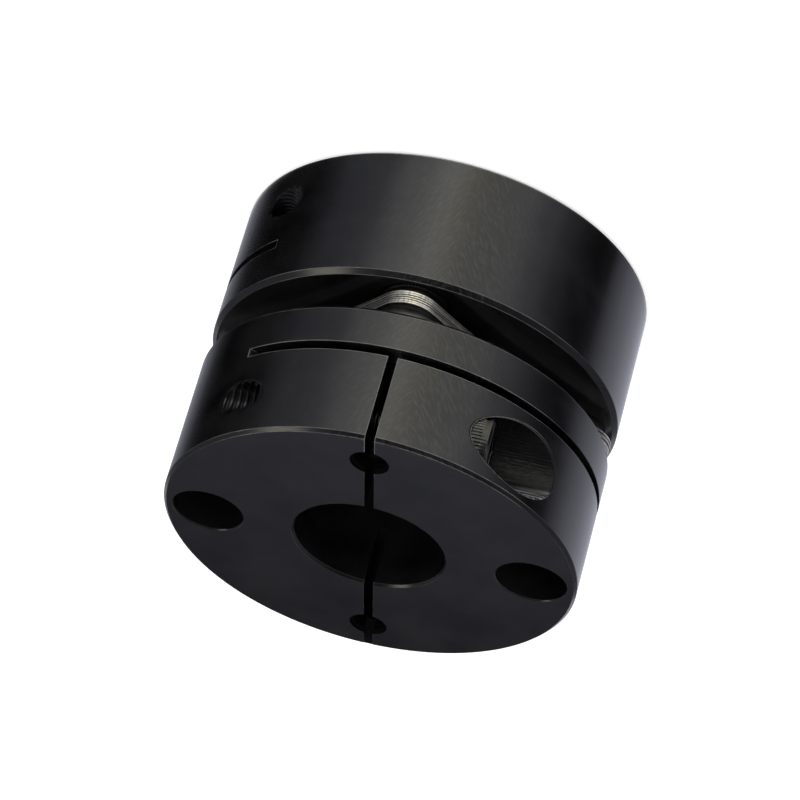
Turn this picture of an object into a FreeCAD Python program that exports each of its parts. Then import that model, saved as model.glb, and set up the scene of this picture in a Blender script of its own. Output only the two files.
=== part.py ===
import FreeCAD, Part

import math
import os

# Single disc coupling with two clamping hubs.
# Two like aluminium hubs stand on one axis, the lower one turned over and turned a quarter
# round from the upper one. A pack of thin square steel discs lies between them. The pack is
# screwed to each hub at two opposite corners, so that the two hubs are joined by the pack alone.
# The coupling stands on the lower hub's end face: Z is the shaft axis, and the origin is the
# middle of that face. The upper hub's slit is at the front, towards -Y.

# Hub, all sizes in millimetres
hub_diameter = 44.0
cross_slit_width = 1.0
flange_thickness = 4.5       # solid part of the hub, which carries the disc pack
end_chamfer = 0.35           # outer edge at the end face
rim_chamfer = 0.5            # outer edge at the disc pack
bore_diameter = 16.0
bore_chamfer = 0.25

# Slit along the axis, cut by a circular saw that runs out through the far rim
slit_width = 1.0
slit_saw_radius = 63.0
slit_dip = 0.15              # how far the saw goes past the jaw into the cross slit
slit_runout_inset = 0.2      # from the rim to the point where the saw leaves the end face

# Slit across the axis, sawn with a straight floor
cross_slit_floor = 7.4       # from the axis to the floor of the slit
cross_slit_turn = 26.75      # degrees, floor turned from the slit along the axis to the screw's head

# Socket head cap screws, M4
thread_diameter = 3.8        # over the crests
thread_clearance = 0.05      # between thread and tapped hole, on the radius
shank_clearance = 0.2        # between thread and plain hole, on the radius
head_diameter = 7.0
head_height = 4.0
head_chamfer = 0.4
tip_chamfer = 0.5
key_width = 3.0              # hexagon socket, across its flats
key_depth = 2.2

# Clamp screw across the slit
clamp_screw_length = 16.0
clamp_screw_rim_distance = 5.7   # from the hub's rim to the screw's axis
clamp_seat_distance = 7.4        # from the middle of the slit to the seat of the head
counterbore_clearance = 0.1      # between head and counterbore, on the radius
counterbore_edge = 0.12          # chamfer at the counterbore's mouth
end_wall = 1.15                  # metal between counterbore and end face
inner_wall = 1.4                 # metal between counterbore and cross slit

# Screws that hold the disc pack
access_clearance = 0.25      # between a screw's head and the other hub's hole, on the radius
access_wall = 1.05           # metal between that hole and the hub's rim
access_chamfer = 0.12
disc_screw_tip_gap = 0.25    # from the screw's tip to the far side of the flange
collar_wall = 1.4            # from the hole to the outer edge
collar_thickness = 1.25      # between the disc pack and the hub that it is screwed to
washer_wall = 1.4
washer_thickness = 1.0       # between the disc pack and the screw's head

# Disc pack
disc_count = 6
disc_thickness = 0.25
corner_margin = 0.95         # from the collar's edge to the tip of the disc's corner
disc_corner_radius = 3.3
disc_side_inset = 0.95       # how far the hollow sides lie inside the corners, at their middle
disc_strip_width = 6.1       # from the middle of a side to the opening
disc_opening_radius = 6.0    # corners of the opening

# Worked out from the sizes above
hub_radius = hub_diameter / 2
bore_radius = bore_diameter / 2
counterbore_radius = head_diameter / 2 + counterbore_clearance
jaw_length = inner_wall + 2 * counterbore_radius + end_wall
jaw_start = flange_thickness + cross_slit_width
hub_length = jaw_start + jaw_length
pack_thickness = disc_count * disc_thickness
hub_gap = pack_thickness + 2 * collar_thickness
tapped_radius = thread_diameter / 2 + thread_clearance
plain_hole_radius = thread_diameter / 2 + shank_clearance
collar_radius = plain_hole_radius + collar_wall
washer_radius = plain_hole_radius + washer_wall
access_radius = head_diameter / 2 + access_clearance
screw_circle_radius = hub_radius - access_wall - access_radius
clamp_screw_offset = hub_radius - clamp_screw_rim_distance
clamp_screw_level = jaw_start + inner_wall + counterbore_radius
disc_screw_length = (washer_thickness + pack_thickness + collar_thickness
                     + flange_thickness - disc_screw_tip_gap)
corner_reach = collar_radius + corner_margin
disc_corner_distance = screw_circle_radius + corner_reach - disc_corner_radius
disc_side_distance = screw_circle_radius / math.sqrt(2) + corner_reach - disc_side_inset
side_half_length = disc_corner_distance / math.sqrt(2)
side_rise = disc_side_distance - side_half_length
side_curve_radius = ((side_half_length ** 2 + side_rise ** 2 - disc_corner_radius ** 2)
                     / (2 * (disc_corner_radius - side_rise)))
corner_half_arc = 45 + math.degrees(math.atan(side_half_length / (side_rise + side_curve_radius)))
key_drill_depth = key_width / 4

ORIGIN = FreeCAD.Vector(0, 0, 0)
X_AXIS = FreeCAD.Vector(1, 0, 0)
Y_AXIS = FreeCAD.Vector(0, 1, 0)
Z_AXIS = FreeCAD.Vector(0, 0, 1)
beyond = hub_diameter        # length of a cut that goes right through and out
overshoot = 1.0              # how far other cuts start or end outside the metal
same_place = 0.01            # points this close are taken as one


def turned(points):
    """Solid of revolution about Z from an outline of (radius, height) points."""
    corners = [FreeCAD.Vector(radius, 0, height) for radius, height in points]
    face = Part.Face(Part.makePolygon(corners + corners[:1]))
    return face.revolve(ORIGIN, Z_AXIS, 360)


def placed(solid, moves):
    """Copy of a solid turned about axes through the origin, then shifted."""
    result = solid.copy()
    for axis, degrees in moves.get("turns", []):
        result.rotate(ORIGIN, axis, degrees)
    result.translate(moves.get("shift", ORIGIN))
    return result


# A hub, its screws and its rings are drawn with the hub's inner face at height 0 and its end
# face upwards. Its slit is towards -Y, and the clamp screw's head is towards -X.

def hub_blank():
    """Turned hub with its bore and chamfered edges."""
    return turned([
        (bore_radius, bore_chamfer),
        (bore_radius + bore_chamfer, 0),
        (hub_radius - rim_chamfer, 0),
        (hub_radius, rim_chamfer),
        (hub_radius, hub_length - end_chamfer),
        (hub_radius - end_chamfer, hub_length),
        (bore_radius + bore_chamfer, hub_length),
        (bore_radius, hub_length - bore_chamfer),
    ])


def axial_slit():
    """Saw cut along the axis, through the near jaw and the bore and out at the far rim."""
    floor = jaw_start - slit_dip
    depth = hub_length - floor
    runout = hub_radius - slit_runout_inset
    saw_stop = runout - math.sqrt(2 * slit_saw_radius * depth - depth ** 2)
    feed = Part.makeBox(slit_width, beyond, 2 * depth,
                        FreeCAD.Vector(-slit_width / 2, saw_stop - beyond, floor))
    saw = Part.makeCylinder(slit_saw_radius, slit_width,
                            FreeCAD.Vector(-slit_width / 2, saw_stop, floor + slit_saw_radius), X_AXIS)
    return feed.fuse(saw)


def cross_slit():
    """Saw cut across the axis, which frees the jaws from the flange."""
    slab = Part.makeBox(2 * beyond, beyond, cross_slit_width,
                        FreeCAD.Vector(-beyond, -cross_slit_floor - beyond, flange_thickness))
    slab.rotate(ORIGIN, Z_AXIS, -cross_slit_turn)
    return slab


def screw_places():
    """Points on the line of the slit where this hub holds the disc pack."""
    return [FreeCAD.Vector(0, side * screw_circle_radius, 0) for side in (-1, 1)]


def access_places():
    """Points where the other hub's screw heads stand in this hub."""
    return [FreeCAD.Vector(side * screw_circle_radius, 0, 0) for side in (-1, 1)]


def access_hole():
    """Through hole for a screw's head and its key, with a chamfered mouth at the end face."""
    return turned([
        (0, -overshoot),
        (access_radius, -overshoot),
        (access_radius, hub_length - access_chamfer),
        (access_radius + access_chamfer, hub_length),
        (access_radius + access_chamfer, hub_length + overshoot),
        (0, hub_length + overshoot),
    ])


def clamp_screw_holes():
    """Plain hole for the clamp screw's shank, then the tapped hole in the other jaw."""
    start = FreeCAD.Vector(0, -clamp_screw_offset, clamp_screw_level)
    plain = Part.makeCylinder(plain_hole_radius, clamp_seat_distance + overshoot, start, -X_AXIS)
    tapped = Part.makeCylinder(tapped_radius, beyond, start, X_AXIS)
    return [plain, tapped]


def counterbore():
    """Flat-bottomed recess for the clamp screw's head."""
    seat = FreeCAD.Vector(-clamp_seat_distance, -clamp_screw_offset, clamp_screw_level)
    return Part.makeCylinder(counterbore_radius, beyond, seat, -X_AXIS)


def mouth_edges(solid, radius):
    """Edges where a hole along X, of the given radius, comes out at the hub's rim."""
    found = []
    for edge in solid.Edges:
        on_both = []
        for fraction in (0.2, 0.5, 0.8):
            first, last = edge.ParameterRange
            point = edge.valueAt(first + fraction * (last - first))
            from_axis = math.hypot(point.x, point.y)
            from_screw = math.hypot(point.y + clamp_screw_offset, point.z - clamp_screw_level)
            on_both.append(abs(from_axis - hub_radius) < same_place
                           and abs(from_screw - radius) < same_place)
        if all(on_both):
            found.append(edge)
    return found


def clamping_hub():
    """One-piece clamping hub."""
    hub = hub_blank().cut(counterbore())
    hub = hub.makeChamfer(counterbore_edge, mouth_edges(hub, counterbore_radius))
    cuts = [axial_slit(), cross_slit()] + clamp_screw_holes()
    for place in access_places():
        cuts.append(placed(access_hole(), {"shift": place}))
    for place in screw_places():
        start = place - Z_AXIS * overshoot
        cuts.append(Part.makeCylinder(tapped_radius, hub_length + 2 * overshoot, start, Z_AXIS))
    return hub.cut(cuts)


def cap_screw(length):
    """Socket head cap screw along Z, with its seat at height 0 and its thread upwards."""
    thread_radius = thread_diameter / 2
    head_radius = head_diameter / 2
    body = turned([
        (0, -head_height),
        (head_radius - head_chamfer, -head_height),
        (head_radius, -head_height + head_chamfer),
        (head_radius, 0),
        (thread_radius, 0),
        (thread_radius, length - tip_chamfer),
        (thread_radius - tip_chamfer, length),
        (0, length),
    ])
    corner_radius = key_width / math.sqrt(3)
    corners = []
    for step in range(6):
        angle = math.radians(60 * step)
        corners.append(FreeCAD.Vector(corner_radius * math.cos(angle),
                                      corner_radius * math.sin(angle), -head_height))
    hexagon = Part.Face(Part.makePolygon(corners + corners[:1]))
    socket = hexagon.extrude(Z_AXIS * key_depth)
    drill_point = Part.makeCone(key_width / 2, 0, key_drill_depth,
                                FreeCAD.Vector(0, 0, key_depth - head_height), Z_AXIS)
    return body.cut([socket, drill_point])


def clamp_screw():
    """Clamp screw in its seat, across the slit."""
    seat = FreeCAD.Vector(-clamp_seat_distance, -clamp_screw_offset, clamp_screw_level)
    return placed(cap_screw(clamp_screw_length), {"turns": [(Y_AXIS, 90)], "shift": seat})


def disc_screw():
    """Screw that holds the disc pack, from the far side of the pack into the flange."""
    seat = -(collar_thickness + pack_thickness + washer_thickness)
    return placed(cap_screw(disc_screw_length), {"shift": FreeCAD.Vector(0, 0, seat)})


def flat_ring(radius, thickness, bottom):
    """Turned ring round a screw."""
    return turned([
        (plain_hole_radius, bottom),
        (radius, bottom),
        (radius, bottom + thickness),
        (plain_hole_radius, bottom + thickness),
    ])


def collar():
    """Collar between the disc pack and the flange."""
    return flat_ring(collar_radius, collar_thickness, -collar_thickness)


def washer():
    """Washer between the disc pack and the screw's head."""
    bottom = -(collar_thickness + pack_thickness + washer_thickness)
    return flat_ring(washer_radius, washer_thickness, bottom)


def disc_outline():
    """Outline of a disc: four round corners at the screws, joined by slightly hollow sides."""
    quarter = []
    for turn in (-corner_half_arc, 0, corner_half_arc):
        angle = math.radians(turn)
        quarter.append(FreeCAD.Vector(disc_corner_distance + disc_corner_radius * math.cos(angle),
                                      disc_corner_radius * math.sin(angle), 0))
    quarter.append(FreeCAD.Vector(disc_side_distance, disc_side_distance, 0) / math.sqrt(2))
    edges = []
    for corner in range(4):
        turn = FreeCAD.Rotation(Z_AXIS, 90 * corner)
        start, tip, end, side_middle = [turn.multVec(point) for point in quarter]
        next_start = FreeCAD.Rotation(Z_AXIS, 90 * (corner + 1)).multVec(quarter[0])
        edges.append(Part.Arc(start, tip, end).toShape())
        edges.append(Part.Arc(end, side_middle, next_start).toShape())
    return Part.Wire(edges)


def upright_edges(solid, near_radius):
    """Upright edges of a plate at the given distance from the axis."""
    found = []
    for edge in solid.Edges:
        ends = [vertex.Point for vertex in edge.Vertexes]
        if len(ends) != 2:
            continue
        level_change = abs(ends[0].z - ends[1].z)
        from_axis = math.hypot(ends[0].x, ends[0].y)
        if level_change > disc_thickness / 2 and abs(from_axis - near_radius) < same_place:
            found.append(edge)
    return found


def flex_disc():
    """One spring steel disc of the pack, with its lower face at height 0."""
    plate = Part.Face(disc_outline()).extrude(Z_AXIS * disc_thickness)
    half_opening = disc_side_distance - disc_strip_width
    opening = Part.makeBox(2 * half_opening, 2 * half_opening, disc_thickness,
                           FreeCAD.Vector(-half_opening, -half_opening, 0))
    corner_edges = upright_edges(opening, half_opening * math.sqrt(2))
    opening = opening.makeFillet(disc_opening_radius, corner_edges)
    opening.rotate(ORIGIN, Z_AXIS, 45)
    holes = [Part.makeCylinder(plain_hole_radius, disc_thickness, place, Z_AXIS)
             for place in screw_places() + access_places()]
    return plate.cut([opening] + holes)


def build_parts():
    """Every piece of the coupling in its place, by name."""
    upper = {"turns": [], "shift": FreeCAD.Vector(0, 0, hub_length + hub_gap)}
    lower = {"turns": [(Y_AXIS, 180), (Z_AXIS, 90)], "shift": FreeCAD.Vector(0, 0, hub_length)}
    hub = clamping_hub()
    parts = {}
    for level, pose, sides in (("upper", upper, ("front", "back")),
                               ("lower", lower, ("right", "left"))):
        parts[level + "_hub"] = placed(hub, pose)
        parts[level + "_clamp_screw"] = placed(clamp_screw(), pose)
        for side, place in zip(sides, screw_places()):
            for name, piece in (("disc_screw", disc_screw()), ("collar", collar()), ("washer", washer())):
                parts[name + "_" + side] = placed(placed(piece, {"shift": place}), pose)
    for number in range(disc_count):
        level = hub_length + collar_thickness + number * disc_thickness
        shift = FreeCAD.Vector(0, 0, level)
        parts["flex_disc_" + str(number + 1)] = placed(flex_disc(), {"shift": shift})
    return parts


os.makedirs("parts", exist_ok=True)
for part_name, part_solid in build_parts().items():
    part_solid.exportStep(os.path.join("parts", part_name + ".step"))
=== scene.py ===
"""Looks of a single disc coupling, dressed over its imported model.

Two black clamping hubs stand on one axis with a pack of thin steel discs between them. The upper
hub's slit is towards -Y and the lower hub's towards +X. The model's frame is kept as it is: metres,
Z along the shaft axis, origin in the middle of the lower hub's end face. Sizes below are in
millimetres unless their names say otherwise.
"""

import logging
import math
from collections.abc import Callable, Iterable
from dataclasses import dataclass
from enum import Enum

import bmesh
import bpy
from mathutils import Matrix, Vector

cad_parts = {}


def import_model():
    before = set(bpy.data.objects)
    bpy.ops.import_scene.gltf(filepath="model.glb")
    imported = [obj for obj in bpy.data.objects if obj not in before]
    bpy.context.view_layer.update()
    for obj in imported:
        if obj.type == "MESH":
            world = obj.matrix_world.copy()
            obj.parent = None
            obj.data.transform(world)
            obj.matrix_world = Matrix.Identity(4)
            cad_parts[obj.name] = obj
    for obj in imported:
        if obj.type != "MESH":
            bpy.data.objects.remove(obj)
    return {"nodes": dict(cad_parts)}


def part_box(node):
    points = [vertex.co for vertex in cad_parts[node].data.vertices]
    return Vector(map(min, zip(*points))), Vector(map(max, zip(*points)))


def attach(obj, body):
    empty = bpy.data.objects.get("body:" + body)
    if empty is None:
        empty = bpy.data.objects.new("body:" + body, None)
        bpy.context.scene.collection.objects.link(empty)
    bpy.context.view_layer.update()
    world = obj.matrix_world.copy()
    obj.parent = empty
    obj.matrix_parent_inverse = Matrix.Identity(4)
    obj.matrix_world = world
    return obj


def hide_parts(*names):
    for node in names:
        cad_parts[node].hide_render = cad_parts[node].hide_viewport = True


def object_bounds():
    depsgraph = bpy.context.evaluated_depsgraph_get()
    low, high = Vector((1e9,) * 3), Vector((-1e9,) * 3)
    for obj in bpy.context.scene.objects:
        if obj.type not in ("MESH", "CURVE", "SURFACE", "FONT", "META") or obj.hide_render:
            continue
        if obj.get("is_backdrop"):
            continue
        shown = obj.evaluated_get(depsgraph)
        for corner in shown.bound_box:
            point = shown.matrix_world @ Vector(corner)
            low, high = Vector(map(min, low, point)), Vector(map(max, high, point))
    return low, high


MM = 0.001
BODY = "root"
SAME_PLACE = 0.0005
FLAT_TURN = math.radians(1)
SMOOTH_TURN = math.radians(35)
CORNER_TURN = math.radians(60)
WHITE = (1.0, 1.0, 1.0)
MIDDLE_OF_NOISE = (0.35, 0.65)
MOST_OF_NOISE = (0.3, 0.7)

Socket = bpy.types.NodeSocket
Colour = tuple[float, float, float]
Sizes = tuple[float, float, float]
Pair = tuple[float, float]

logging.basicConfig(level=logging.INFO, format="%(name)s: %(message)s")
log = logging.getLogger("disc_coupling")


class Direction(Enum):
    """Ways along the axes of the model."""

    RIGHT = (1.0, 0.0, 0.0)
    LEFT = (-1.0, 0.0, 0.0)
    BACK = (0.0, 1.0, 0.0)
    FRONT = (0.0, -1.0, 0.0)
    UP = (0.0, 0.0, 1.0)
    DOWN = (0.0, 0.0, -1.0)

    @property
    def vector(self) -> Vector:
        """Unit vector of this direction."""
        return Vector(self.value)

    @property
    def opposite(self) -> "Direction":
        """The other way along the same axis."""
        return Direction(tuple(-part for part in self.value))

    def turn(self) -> Matrix:
        """Rotation that takes +Z to this direction."""
        return Vector((0, 0, 1)).rotation_difference(self.vector).to_matrix().to_4x4()


class NodeTree:
    """Short way to add shader nodes to a tree and to link them."""

    def __init__(self, owner: bpy.types.Material | bpy.types.World) -> None:
        """Clears the owner's tree.

        Args:
            owner: The material or world whose nodes are made.
        """
        owner.use_nodes = True
        self.tree = owner.node_tree
        self.tree.nodes.clear()

    def add(self, kind: str, **settings: object) -> bpy.types.Node:
        """Adds a node and sets its properties.

        Args:
            kind: The node's type without the ShaderNode prefix.
            **settings: Properties of the node, by name.

        Returns:
            The new node.
        """
        node = self.tree.nodes.new("ShaderNode" + kind)
        for name, value in settings.items():
            setattr(node, name, value)
        return node

    def link(self, source: Socket, target: Socket) -> None:
        """Links one socket to another.

        Args:
            source: The output socket.
            target: The input socket.
        """
        self.tree.links.new(source, target)

    def feed(self, target: Socket, value: object) -> None:
        """Links a socket to an input, or sets the input to a plain value.

        Args:
            target: The input socket.
            value: An output socket or a value.
        """
        if isinstance(value, Socket):
            self.link(value, target)
        else:
            target.default_value = value

    def math(self, operation: str, *values: object, clamp: bool = False) -> Socket:
        """Works out a number from others.

        Args:
            operation: Name of the Math node's operation.
            *values: Sockets or numbers.
            clamp: Whether the result is kept within 0 and 1.

        Returns:
            The result's socket.
        """
        node = self.add("Math", operation=operation, use_clamp=clamp)
        for target, value in zip(node.inputs, values):
            self.feed(target, value)
        return node.outputs["Value"]

    def product(self, first: Socket, *others: Socket) -> Socket:
        """Multiplies some numbers.

        Args:
            first: The first number's socket.
            *others: The other numbers' sockets.

        Returns:
            The product's socket.
        """
        for other in others:
            first = self.math("MULTIPLY", first, other)
        return first

    def place(self, stretch: Sizes, turn_deg: float = 0.0, source: Socket | None = None) -> Socket:
        """Coordinates, turned about Y and divided by a size along each axis.

        Args:
            stretch: Size of the pattern along each axis, in millimetres.
            turn_deg: Turn of the pattern, in degrees.
            source: The coordinates in metres, or None for the object's own.

        Returns:
            The coordinates' socket.
        """
        if source is None:
            source = self.add("TexCoord").outputs["Object"]
        turned = self.add("Mapping")
        turned.inputs["Rotation"].default_value = (0.0, math.radians(turn_deg), 0.0)
        scaled = self.add("Mapping")
        scaled.inputs["Scale"].default_value = [1 / (size * MM) for size in stretch]
        self.link(source, turned.inputs["Vector"])
        self.link(turned.outputs["Vector"], scaled.inputs["Vector"])
        return scaled.outputs["Vector"]

    def position(self) -> dict[str, Socket]:
        """The point's X, Y and Z in millimetres, and R, its distance from the shaft axis."""
        parts = self.add("SeparateXYZ")
        self.link(self.add("TexCoord").outputs["Object"], parts.inputs["Vector"])
        found = {name: self.math("DIVIDE", parts.outputs[name], MM) for name in "XYZ"}
        found["R"] = self.distance(found["X"], found["Y"])
        return found

    def distance(self, first: Socket, second: Socket) -> Socket:
        """Length of the diagonal of two lengths.

        Args:
            first: The one length.
            second: The other length, square to it.

        Returns:
            The diagonal's socket.
        """
        square = self.math("MULTIPLY", second, second)
        return self.math("SQRT", self.math("MULTIPLY_ADD", first, first, square))

    def noise(self, place: Socket, detail: float = 2.0, roughness: float = 0.5) -> Socket:
        """Noise of about one grain for each unit of its coordinates.

        Args:
            place: The coordinates.
            detail: Number of finer layers.
            roughness: Strength of the finer layers.

        Returns:
            The noise's socket, from 0 to 1.
        """
        node = self.add("TexNoise")
        node.inputs["Scale"].default_value = 1.0
        node.inputs["Detail"].default_value = detail
        node.inputs["Roughness"].default_value = roughness
        self.link(place, node.inputs["Vector"])
        return node.outputs["Fac"]

    def spread(self, value: Socket, low: float, high: float, to_low: float = 0.0,
               to_high: float = 1.0) -> Socket:
        """Maps one range of numbers to another and stops at its ends.

        Args:
            value: The number's socket.
            low: Start of its range.
            high: End of its range.
            to_low: Result at the start.
            to_high: Result at the end.

        Returns:
            The result's socket.
        """
        node = self.add("MapRange")
        for name, number in (("From Min", low), ("From Max", high), ("To Min", to_low),
                             ("To Max", to_high)):
            node.inputs[name].default_value = number
        self.link(value, node.inputs["Value"])
        return node.outputs["Result"]

    def blend(self, share: Socket, first: object, second: object) -> Socket:
        """Mixes two colours.

        Args:
            share: Share of the second colour.
            first: Socket or colour.
            second: Socket or colour.

        Returns:
            The mixed colour's socket.
        """
        node = self.add("Mix", data_type="RGBA")
        self.link(share, node.inputs["Factor"])
        for target, colour in ((node.inputs[6], first), (node.inputs[7], second)):
            self.feed(target, colour if isinstance(colour, Socket) else (*colour, 1.0))
        return node.outputs[2]

    def bump(self, height: Socket, distance: float, strength: float,
             normal: Socket | None = None) -> Socket:
        """Relief from a height.

        Args:
            height: The height's socket.
            distance: Depth of the relief, in millimetres.
            strength: Strength of the effect.
            normal: Normal that the relief is laid over.

        Returns:
            The new normal's socket.
        """
        node = self.add("Bump")
        node.inputs["Distance"].default_value = distance * MM
        node.inputs["Strength"].default_value = strength
        self.link(height, node.inputs["Height"])
        if normal is not None:
            self.link(normal, node.inputs["Normal"])
        return node.outputs["Normal"]

    def edges(self, radius: float, samples: int = 6, likeness: Pair = (0.99, 0.92)) -> tuple[Socket, Socket]:
        """Rounds sharp edges and finds them.

        Args:
            radius: Radius of the rounding, in millimetres.
            samples: Rays for each point.
            likeness: How alike the rounded and the plain normal are where the mask starts and is whole.

        Returns:
            The rounded normal, and a mask that is 1 on the edges.
        """
        rounded = self.add("Bevel", samples=samples)
        rounded.inputs["Radius"].default_value = radius * MM
        geometry = self.add("NewGeometry")
        alike = self.add("VectorMath", operation="DOT_PRODUCT")
        self.link(rounded.outputs["Normal"], alike.inputs[0])
        self.link(geometry.outputs["Normal"], alike.inputs[1])
        return rounded.outputs["Normal"], self.spread(alike.outputs["Value"], *likeness)

    def mixed(self, share: Socket, first: bpy.types.Node, second: bpy.types.Node) -> bpy.types.Node:
        """Mixes two shaders.

        Args:
            share: Share of the second shader.
            first: The first shader's node.
            second: The second shader's node.

        Returns:
            The mixed shader's node.
        """
        node = self.add("MixShader")
        for target, source in zip(node.inputs, (share, first.outputs[0], second.outputs[0])):
            self.link(source, target)
        return node

    def background(self, colour: Colour, strength: object) -> bpy.types.Node:
        """Adds a background for the world.

        Args:
            colour: Its colour.
            strength: Socket or number.

        Returns:
            The background's node.
        """
        node = self.add("Background")
        node.inputs["Color"].default_value = (*colour, 1)
        self.feed(node.inputs["Strength"], strength)
        return node

    def principled(self, inputs: dict[str, object]) -> None:
        """Finishes the tree with a Principled shader.

        Args:
            inputs: Sockets or values of the shader's inputs, by name.
        """
        shader = self.add("BsdfPrincipled")
        for name, value in inputs.items():
            self.feed(shader.inputs[name], value)
        self.finish(shader)

    def finish(self, shader: bpy.types.Node, output: str = "OutputMaterial") -> None:
        """Links a shader to the tree's output.

        Args:
            shader: The shader's node.
            output: Type of the output's node.
        """
        self.link(shader.outputs[0], self.add(output).inputs["Surface"])


@dataclass(frozen=True)
class Coat:
    """A material with the slot that it stands for."""

    material: bpy.types.Material
    slot: str


@dataclass(frozen=True)
class AnodisedFinish:
    """Satin black anodised aluminium with the marks of turning and boring.

    A zone says where something starts and where it is whole. A relief is a depth and a strength.
    """

    slot: str = "hub_black"
    deep_colour: Colour = (0.003, 0.003, 0.0037)
    light_colour: Colour = (0.0098, 0.0096, 0.0104)
    # Partly marks, partly painted sheen: the lighter colour of the swirl on the front.
    swirl_sheen_colour: Colour = (0.036, 0.036, 0.033)
    # Painted highlight: the bright streaks in the counterbore near its mouth.
    streak_colour: Colour = (0.34, 0.34, 0.34)
    # Partly wear, partly painted glints: the colour of the hub's lighter edge lines.
    edge_colour: Colour = (0.42, 0.415, 0.4)
    # Painted shade: the lining's colour, roughness and refraction make the end-face threads darker than the
    # hub's own anodising.
    lining_colour: Colour = (0.002, 0.002, 0.0022)
    # Painted shade: the specular tint that darkens the counterbore away from its bright streaks.
    painted_shade_tint: Colour = (0.36, 0.36, 0.36)
    roughness: Pair = (0.2, 0.25)
    refraction: float = 1.7
    lining_roughness: Pair = (0.55, 0.65)
    lining_refraction: float = 1.15
    edge_radius: float = 0.13
    rim_radius: float = 22.0
    rim_zone: Pair = (0.8, 0.6)
    half_height: float = 17.25
    end_zone: Pair = (0.5, 0.4)
    # Painted glints: the edge lines fade from the front, where the edges catch the light, towards the back.
    front_glint_zone: Pair = (0.62, 0.8)
    back_glint_share: float = 0.12
    least_wear: float = 0.5
    cloud_size: Sizes = (7.0, 7.0, 5.0)
    ring_size: Sizes = (9.0, 9.0, 0.11)
    wear_size: float = 1.4
    grain_size: float = 0.25
    lining_grain_size: float = 0.2
    ring_relief: Pair = (0.001, 0.3)
    grain_relief: Pair = (0.002, 0.25)
    swirl_relief: Pair = (0.004, 0.6)
    swirl_size: Sizes = (0.22, 2.0, 1.0)
    swirl_slant_deg: float = -33.0
    swirl_zone: Pair = (0.45, 0.75)
    swirl_front: Pair = (0.8, 0.9)
    swirl_place: float = -3.0
    swirl_reach: float = 9.0
    far_swirl: float = 0.15
    bore_relief: Pair = (0.11, 1.0)
    bore_mark_size: Pair = (0.22, 5.0)
    counterbore_reach: float = 3.75
    thread_reach: float = 2.3
    seat_ease: float = 0.2
    roof_zone: Pair = (0.6, 2.2)
    highlight_zone: Pair = (3.2, 6.4)
    highlighted_marks: Pair = (0.44, 0.66)
    painted_shade_zone: Pair = (5.4, 2.4)

    def coat(self, name: str, screw: "CapScrew") -> Coat:
        """Builds the finish of one hub.

        Args:
            name: The material's name.
            screw: The hub's clamp screw, whose hole has marks of its own.

        Returns:
            The hub's coat.
        """
        material = bpy.data.materials.new(name)
        nodes = NodeTree(material)
        rounded, edge = nodes.edges(self.edge_radius)
        position = nodes.position()
        outside = nodes.spread(position["R"], *(self.rim_radius - depth for depth in self.rim_zone))
        from_middle = nodes.math("ABSOLUTE", nodes.math("SUBTRACT", position["Z"], self.half_height))
        at_end = nodes.spread(from_middle, *(self.half_height - depth for depth in self.end_zone))
        cloud = nodes.noise(nodes.place(self.cloud_size), detail=3.0, roughness=0.6)
        grain = nodes.noise(nodes.place((self.grain_size,) * 3))
        rings = nodes.noise(nodes.place(self.ring_size), detail=1.0)
        wear = nodes.noise(nodes.place((self.wear_size,) * 3), detail=4.0, roughness=0.6)
        swirl = nodes.product(self.swirl(nodes, position), outside)
        bore = self.bore_marks(nodes, position, screw)
        body = nodes.blend(nodes.spread(cloud, *MIDDLE_OF_NOISE), self.deep_colour, self.light_colour)
        # The swirl marks, painted lighter only on the front, where they stand partly for a painted sheen.
        body = nodes.blend(swirl, body, self.swirl_sheen_colour)
        # Painted highlight: streaks near the counterbore's mouth painted bright, a painted reflection of the
        # floor.
        body = nodes.blend(bore["painted_highlight"], body, self.streak_colour)
        exposed = nodes.math("MAXIMUM", outside, at_end)
        exposed = nodes.math("SUBTRACT", exposed, bore["threaded"], clamp=True)
        # Painted glints: the edge lines are strong on the front and faint at the back.
        front_glint = nodes.spread(position["Y"], *(-self.rim_radius * share for share in self.front_glint_zone),
                               self.back_glint_share)
        worn_and_glinting = nodes.product(edge, exposed, front_glint, nodes.spread(wear, *MIDDLE_OF_NOISE, self.least_wear))
        relief = nodes.bump(rings, *self.ring_relief, rounded)
        relief = nodes.bump(swirl, *self.swirl_relief, relief)
        relief = nodes.bump(grain, *self.grain_relief, relief)
        relief = nodes.bump(nodes.product(bore["inside"], bore["marks"]), *self.bore_relief, relief)
        nodes.principled({
            "IOR": self.refraction,
            # Edge lines: partly wear, partly painted glints where the rounded edges would catch the light.
            "Base Color": nodes.blend(worn_and_glinting, body, self.edge_colour),
            "Roughness": nodes.spread(cloud, *MOST_OF_NOISE, *self.roughness),
            # Painted shade: the counterbore's reflection is tinted darker away from its bright streaks.
            "Specular Tint": nodes.blend(bore["painted_shade"], WHITE, self.painted_shade_tint),
            "Normal": relief,
        })
        return Coat(material, self.slot)

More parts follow.
